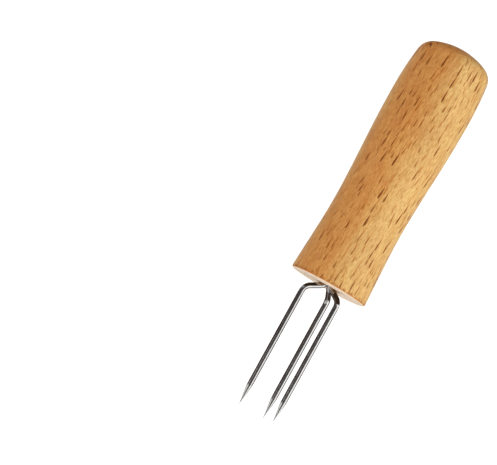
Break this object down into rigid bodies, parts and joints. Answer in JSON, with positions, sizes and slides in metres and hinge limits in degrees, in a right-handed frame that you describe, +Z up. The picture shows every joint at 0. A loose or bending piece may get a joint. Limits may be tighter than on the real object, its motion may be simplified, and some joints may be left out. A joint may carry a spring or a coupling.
{
  "type": "uncapping fork",
  "caption": "Small hand fork: turned beech handle with a slim waist and a crowned end, and straight bent-wire steel tines with needle points set in a triangle.",
  "frame": {"origin": "middle of the fork's bounding box in plan, on the surface that it lies on, directly under the handle's axis", "axes": "+X along the handle's axis towards its crowned end, so the tines point to -X; +Z up, away from the surface that the fork lies on; +Y completes the right-handed frame"},
  "size_m": [0.1384, 0.028, 0.028],
  "materials": {
    "beech": "fine-grained steamed beech, turned and sanded, clear satin lacquer",
    "wire_steel": "drawn and polished stainless wire, points ground",
    "resin": "set two-part resin, translucent amber, glossy skin"
  },
  "bodies": {
    "root": {"handle": "beech", "tine_left": "wire_steel", "tine_right": "wire_steel", "tine_lower": "wire_steel", "resin_plug": "resin"}
  },
  "joints": []
}
